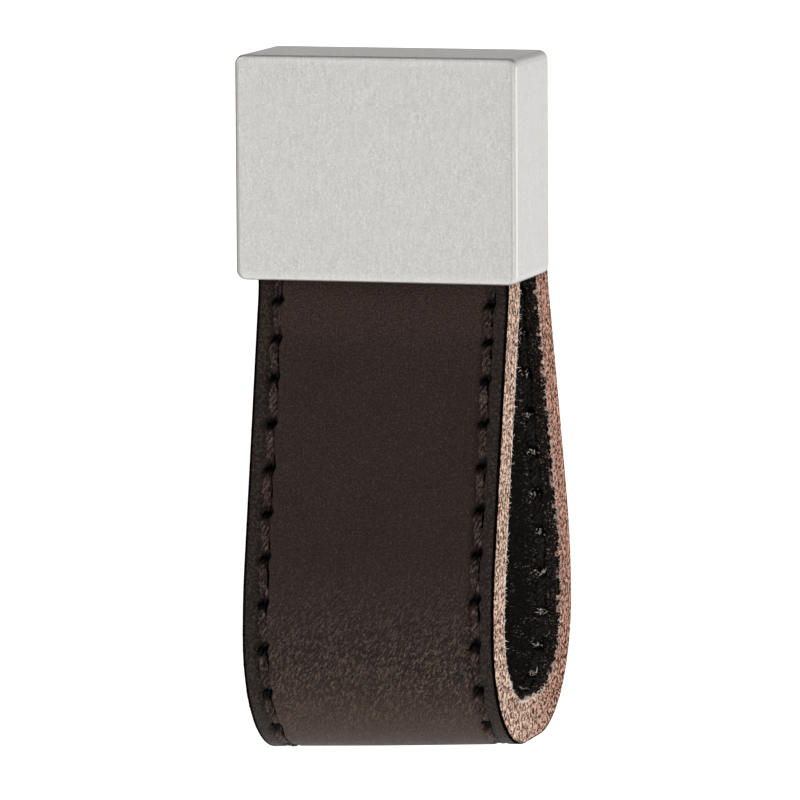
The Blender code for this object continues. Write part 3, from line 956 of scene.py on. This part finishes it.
metal_colour = blend(between(brushing, 0.3, 0.7), (0.44, 0.43, 0.42), (0.525, 0.513, 0.502))
metal_colour = blend(speckle, scaled(metal_colour, 0.9), scaled(metal_colour, 1.1))
# The edge layer is a painted highlight on every rounding, and the next one is a stronger painted highlight down
# the right upright rounding.
metal_colour = layered(
    metal_colour,
    (cloud, 1, (0.488, 0.468, 0.458)),
    (pits, 0.55, (0.27, 0.26, 0.245)),
    (painted_glint_specks, 0.4, (0.7, 0.69, 0.67)),
    (edge, 0.15, (0.72, 0.705, 0.68)),
    (times(painted_right_highlight, upright_edge), 0.8, (0.64, 0.63, 0.61)),
)
# Painted shade: the roundings that face left are darker.
painted_left_shade = times(between(facing["X"], -0.08, -0.3), on_rounding)
metal_colour = blend(painted_left_shade, metal_colour, scaled(metal_colour, 0.55))
# Painted light: the top face is painted lighter.
metal_colour = blend(between(facing["Z"], 0.9, 0.99), metal_colour, scaled(metal_colour, 1.12, 1.12, 1.11))
# Painted light: the end that faces right is painted paler.
metal_colour = blend(between(facing["X"], 0.55, 0.95), metal_colour, scaled(metal_colour, 1.19))

# Painted shade darkens the roundings below and at the left front, and draws two faint dark lines down each
# upright rounding. Grazing metal is a mirror whatever its colour, so the painted shade also takes the Metallic
# down.
left_front = times(between(facing["X"], -0.5, -0.7), between(facing["Y"], 0.0, -0.15))
painted_edge_shade = times(larger(between(facing["Z"], -0.62, -0.85), left_front), 0.85)
front_line = times(between(facing["X"], 0.04, 0.1), between(facing["X"], 0.24, 0.14, 0.0, 0.3))
side_line = times(between(facing["X"], 0.6, 0.68), between(facing["X"], 0.8, 0.72, 0.0, 0.3))
painted_edge_shade = times(larger(painted_edge_shade, times(larger(front_line, side_line), upright_edge)), on_rounding)
feed("Metallic", minus(1.0, painted_edge_shade))
feed("Base Color", blend(painted_edge_shade, metal_colour, (0.2, 0.2, 0.185)))
feed("Roughness", minus(between(brushing, 0.25, 0.75, 0.36, 0.46), times(edge, 0.08)))
emboss(plus(minus(brushing, times(pits, 1.6)), times(painted_glint_specks, 0.8)), 0.4, 0.05 * MM)
dress(satin, metal_block)

# %% [markdown]
# ## Turned metal
#
# A lathe tool leaves rings. On the post they are lines of one distance along the axis on the barrel, and lines
# of one radius on the ends, so one pattern reads both.

# %% The post's material
turned = new_material("turned_metal", Metallic=1.0)
in_mm = object_mm()
post_parts = parts_of(in_mm)
squares = (times(post_parts[axis], post_parts[axis]) for axis in "XZ")
radius = calculate("SQRT", plus(*squares))
rings = lined(add("ShaderNodeCombineXYZ", {0: radius, 1: post_parts["Y"]}).outputs[0], 6.0)
turned_colour = blend(between(rings, 0.3, 0.7), (0.5, 0.49, 0.47), (0.61, 0.6, 0.58))
feed("Base Color", layered(turned_colour, (specked(in_mm, 1.6, 0.1), 0.12, (0.4, 0.38, 0.35))))
feed("Roughness", between(rings, 0.25, 0.75, 0.24, 0.38))
emboss(rings, 0.35, 0.05 * MM)
dress(turned, turned_post)

# %% [markdown]
# ## Leather
#
# One material dresses the whole strap, because it is one hide. Three faces are told apart by what the mesh
# keeps: the grain face has fine pores, and lighter creases where it is stretched round the bottom. The raw edge
# is a mat of tan fibres with dark gaps. The flesh face is dyed nearly black and is fuzzy.

# %% The leather's grain face
leather = new_material("dark_leather")
flat = kept("flat_mm", "Vector")
cut = between(kept("cut_edge"), 0.4, 0.6)
stretch = kept("bend")
flat_parts = parts_of(flat)
along_strap, through = flat_parts["Y"], flat_parts["Z"]
from_middle = calculate("ABSOLUTE", flat_parts["X"])

pebbles = add("ShaderNodeTexVoronoi", {"Vector": flat, "Scale": 2.6}, feature="DISTANCE_TO_EDGE")
# Turned first and then squeezed, which is what the mapping's texture type does: long creases on a slant.
turned_flat = {"Vector": flat, "Rotation": (0.0, 0.0, math.radians(-55)), "Scale": (2.2, 0.7, 1.0)}
slanted = add("ShaderNodeMapping", turned_flat, vector_type="TEXTURE").outputs[0]
creases = noise(slanted, 5.0, 2.5, 0.6)
crease_tone = between(creases, 0.45, 0.59)
pores = specked(flat, 4.2, 0.12)
glints = specked(stretched(flat, 1.0, 0.7, 1.0), 3.7, 0.06)
mottle = noise(flat, 5.2, 2.0, 0.7)

grain_colour = blend(noise(flat, 0.16, 3.0), (0.021, 0.0125, 0.0102), (0.0275, 0.0168, 0.0132))
creased = blend(crease_tone, (0.012, 0.0078, 0.0064), (0.165, 0.116, 0.092))
grain_colour = layered(grain_colour, (stretch, 0.85, creased))
mottle_dark, mottle_light = scaled(grain_colour, 0.48, 0.48, 0.5), scaled(grain_colour, 2.0, 2.0, 1.95)
grain_colour = blend(between(mottle, 0.35, 0.75), mottle_dark, mottle_light)
# Painted sheen: the lowest part of the loop is lighter and warmer, as if lit from below.
painted_sheen_below = between(parts_of(object_mm())["Z"], -50.5, -59.5, 0.0, 0.6)
grain_colour = blend(painted_sheen_below, grain_colour, (0.118, 0.074, 0.055))
# Painted light: the grain face just below the block is lighter, as light bounced off the metal.
painted_bounce_under_block = between(along_strap, 21.0, 30.0, 0.6, 0.0)
grain_colour = blend(painted_bounce_under_block, grain_colour, scaled(grain_colour, 1.9, 1.85, 1.8))

margin = between(from_middle, 11.3, 11.9)
squeezed = between(noise(flat, 3.6, 3.0, 0.75), 0.42, 0.64)
ragged = times(minus(noise(flat, 4.5, 2.0, 0.7), 0.5), 0.9)
# Painted shade: the slits and the crease on each thread's right are near black, with ragged borders.
painted_seam_shadow = between(plus(kept("seam_shade_paint"), ragged), 0.28, 0.42)
# Painted shade: a near-black line along the grain face's rounded edges.
painted_rim_shade = between(from_middle, 13.0, 13.18)
grain_colour = layered(
    grain_colour,
    (margin, 0.75, blend(squeezed, (0.005, 0.0035, 0.003), (0.058, 0.041, 0.032))),
    (pores, 0.5, (0.007, 0.0045, 0.0035)),
    (glints, 0.35, (0.075, 0.056, 0.045)),
    (painted_seam_shadow, 0.95, (0.0025, 0.0018, 0.0015)),
    (painted_rim_shade, 0.93, (0.001, 0.0006, 0.0005)),
)
grain_height = plus(times(between(pebbles.outputs["Distance"], 0.0, 0.16), 0.25), crease_tone)
grain_height = times(grain_height, between(stretch, 0.0, 1.0, 0.2, 3.0))
grain_height = plus(plus(grain_height, times(times(squeezed, margin), 1.2)), times(mottle, 0.6))
grain_height = minus(grain_height, times(pores, 0.3))

# %% The raw edge
# It is cut across the fibres, so its pattern lies in the flat plane of the cut and reads object coordinates.
cut_place = object_mm(0.48)
fibre_tone = between(noise(stretched(cut_place, 1.0, 1.0, 0.65), 3.5, 3.0, 0.75), 0.395, 0.57)
cells = add("ShaderNodeTexVoronoi", {"Vector": cut_place, "Scale": 2.3}).outputs["Distance"]
pore_spots = between(cells, between(stretch, 0.0, 1.0, 0.3, 0.4, "LINEAR"), 0.14)
open_pores = calculate("MULTIPLY", pore_spots, between(noise(cut_place, 1.3, 2.0), 0.36, 0.5), clamp=True)
cracks = between(noise(stretched(cut_place, 1.0, 1.0, 0.5), 3.6, 2.0, 0.65), 0.41, 0.34)
dark_gaps = larger(open_pores, cracks)
rear_half = between(along_strap, 66.0, 88.0)
fibre_dark = blend(rear_half, (0.13, 0.047, 0.029), (0.045, 0.013, 0.009))
fibre_light = blend(rear_half, (1.0, 0.73, 0.575), (0.78, 0.44, 0.335))
# Painted highlight: a pale, broken line along the raw edge where it meets the flesh face.
painted_lip_highlight = times(between(through, -1.72, -2.05), between(rear_half, 0.0, 1.0, 1.0, 0.3))
painted_lip_highlight = times(painted_lip_highlight, between(noise(cut_place, 1.4, 2.0), 0.35, 0.6))
grain_layer = between(through, 2.1, 2.2)
fibre_colour = layered(
    blend(fibre_tone, fibre_dark, fibre_light),
    (dark_gaps, 0.9, (0.07, 0.022, 0.015)),
    (painted_lip_highlight, 0.85, (1.0, 0.95, 0.9)),
    (grain_layer, 1, (0.004, 0.0015, 0.001)),
)
fibre_height = minus(times(fibre_tone, 1.2), times(dark_gaps, 2.5))

# %% The flesh face
flesh_tone = noise(flat, 3.2, 4.0, 0.8)
near_edge = between(from_middle, 9.8, 11.6)
flesh_light = blend(near_edge, (0.022, 0.02, 0.016), (0.07, 0.046, 0.036))
flesh_colour = blend(between(flesh_tone, 0.45, 0.75), (0.0045, 0.004, 0.0033), flesh_light)
dusty = plus(between(noise(flat, 0.5, 2.0), 0.45, 0.62, 0.05, 0.45), times(near_edge, 0.3))
flesh_colour = blend(times(specked(flat, 4.5, 0.1), dusty), flesh_colour, (0.32, 0.28, 0.25))
# The dye has crept over the corner in uneven bites.
bites = noise(stretched(flat, 1.0, 1.0, 0.4), 1.5, 3.0, 0.6)
bite_reach = between(bites, 0.35, 0.75, -2.45, between(rear_half, 0.0, 1.0, -2.12, -1.75), "LINEAR")
bitten = between(minus(through, bite_reach), 0.12, -0.02)

# %% The three faces in one material
is_cut = times(cut, minus(1.0, bitten))
is_flesh = larger(kept("flesh"), bitten)
feed("Base Color", blend(is_cut, blend(is_flesh, grain_colour, flesh_colour), fibre_colour))
feed("Roughness", choose(larger(is_cut, is_flesh), between(creases, 0.3, 0.7, 0.5, 0.62), 0.9))
# Specular is taken off the painted shade of the rim and the seams, and off the dark grain layer at the cut
# edge.
shade_lines_and_grain_layer = larger(larger(painted_rim_shade, times(grain_layer, cut)), painted_seam_shadow)
feed("Specular IOR Level", between(shade_lines_and_grain_layer, 0.0, 1.0, 0.11, 0.0))
leather_height = choose(is_cut, grain_height, fibre_height)
emboss(choose(is_flesh, leather_height, times(flesh_tone, 2.5)), 0.7, 0.1 * MM)
dress(leather, leather_loop)

# %% [markdown]
# ## Thread and loose fibres
#
# Waxed thread is dark and a little glossy on top of its plies, with dust in between. The loose fibres are the
# raw edge's own tan, each a little lighter or darker than the next.

# %% Materials for the threads and strands


def thread_material(name, dark, light):
    """Plies with fine fibres that run along them on a slant."""
    material = new_material(name, Specular_IOR_Level=0.15)
    along = kept("along_mm", "Vector")
    fibres = lined(stretched(along, 1.5, 7.0, 3.0), 1.6)
    crumpled = noise(along, 3.2, 3.0, 0.7)
    shades = ((1.8, light), (1.7, light), (0.4, dark))
    worn, painted_glint, shaded = (tuple(factor * v for v in tone) for factor, tone in shades)
    # Painted light: the flecks are painted glints, the shaded layer is painted shade in the crumples, and the
    # thread is painted near black as shade where it dives into a slit.
    colour = layered(
        blend(between(fibres, 0.47, 0.6), dark, light),
        (between(noise(along, 0.7, 2.0), 0.5, 0.75, 0.0, 0.5), 1, worn),
        (between(crumpled, 0.42, 0.58, 0.65, 0.0), 1, shaded),
        (specked(stretched(along, 1.6, 5.0, 2.0), 2.2, 0.13), 0.6, painted_glint),
        (between(kept("dive"), 0.02, 0.2), 1, (0.002, 0.0015, 0.0013)),
    )
    feed("Base Color", colour)
    feed("Roughness", between(fibres, 0.2, 0.8, 0.45, 0.7))
    emboss(plus(fibres, times(crumpled, 2.5)), 0.9, 0.1 * MM)
    return material


dress(thread_material("brown_thread", (0.008, 0.0042, 0.0036), (0.118, 0.075, 0.064)), *threads["outer"])
dress(thread_material("black_thread", (0.004, 0.0035, 0.003), (0.035, 0.032, 0.03)), *threads["inner"])

loose = new_material("loose_fibre", Roughness=0.85, Specular_IOR_Level=0.2)
strand_colour = blend(kept("strand_tone"), (0.6, 0.4, 0.31), (1.0, 0.9, 0.8))
in_mm = object_mm()
dyed = between(noise(in_mm, 1.1), 0.5, 0.7, 0.0, 0.5)
feed("Base Color", blend(dyed, strand_colour, (0.25, 0.13, 0.1)))
dress(loose, *edge_fibres)

pale = new_material("pale_fluff", Roughness=0.9, Specular_IOR_Level=0.2)
feed("Base Color", blend(kept("strand_tone"), (0.2, 0.165, 0.15), (0.85, 0.76, 0.71)))
dress(pale, *fluff)

# %% [markdown]
# ## The studio
#
# The light is soft and nearly even, as under a white tent: a pale floor below, a pale surround, and large
# soft lamps. The surround and floor are plain white where the camera or a reflection looks at them, and the
# floor keeps its shadow. Grey cards overhead and behind give the top face and the outlines something darker to
# reflect, as a photographer's flags do.

# %% Floor, surround and lamps
FLOOR_HALF, FLOOR_Z = 12, -0.3
WHITE = (1.0, 1.0, 1.0)
LAMPS_FACE = Vector((0.0, -0.015, -0.02))


def flat_sheet(name, corners, material):
    """A stage sheet through four corners."""
    sheet = in_scene(name, new_mesh(name, corners, [(0, 1, 2, 3)]))
    sheet.data.materials.append(material)
    return sheet


def seen_directly():
    """1 where the camera, a reflection or a see-through surface looks, and 0 for light that falls on things."""
    path = add("ShaderNodeLightPath").outputs
    return larger(larger(path["Is Camera Ray"], path["Is Glossy Ray"]), path["Is Transmission Ray"])


plain = {"Specular_IOR_Level": 0.0, "Emission_Color": (*WHITE, 1.0)}
pale_floor = new_material("pale_floor", Roughness=0.8, Base_Color=(0.8, 0.8, 0.8, 1.0), **plain)
feed("Emission Strength", times(seen_directly(), 0.8))
floor_corners = [(x * FLOOR_HALF, y * FLOOR_HALF, FLOOR_Z) for x, y in ((-1, -1), (1, -1), (1, 1), (-1, 1))]
flat_sheet("floor", floor_corners, pale_floor)

grey_card = new_material("grey_card", Roughness=1.0, Base_Color=(0.56, 0.56, 0.55, 1.0), **plain)
behind = [(-1.6, 0.9, -0.28), (0.0, 0.9, -0.28), (0.0, 0.9, 0.02), (-1.6, 0.9, 0.02)]
overhead = [(-1.8, -0.7, 1.1), (1.4, -0.7, 1.1), (1.4, 3.4, 1.1), (-1.8, 3.4, 1.1)]
for name, corners in (("card_behind", behind), ("card_overhead", overhead)):
    card = flat_sheet(name, corners, grey_card)
    card.visible_camera = False
    card.visible_shadow = False

world = bpy.data.worlds.new("surround")
bpy.context.scene.world = world
world.use_nodes = True
opened["tree"], opened["shader"] = world.node_tree, world.node_tree.nodes["Background"]
feed("Color", blend(seen_directly(), (0.7, 0.7, 0.69), WHITE))


def soft_lamp(name, place, size, power, in_reflections):
    """A square area lamp that faces the knob, and may be left out of reflections."""
    data = bpy.data.lights.new(name, "AREA")
    data.shape = "SQUARE"
    data.size = size
    data.energy = power
    lamp = in_scene(name, data)
    aim = (LAMPS_FACE - Vector(place)).to_track_quat("-Z", "Y")
    lamp.matrix_world = Matrix.Translation(Vector(place)) @ aim.to_matrix().to_4x4()
    lamp.visible_glossy = in_reflections


soft_lamp("key_lamp", (-1.7, -0.9, 0.6), 1.1, 11, True)
soft_lamp("side_lamp", (1.8, -0.8, 0.1), 0.9, 14, False)

# %% [markdown]
# ## Finish
#
# The picture is shown without a film curve, so that colours stay as written.

# %% View settings
bpy.context.scene.view_settings.view_transform = "Standard"
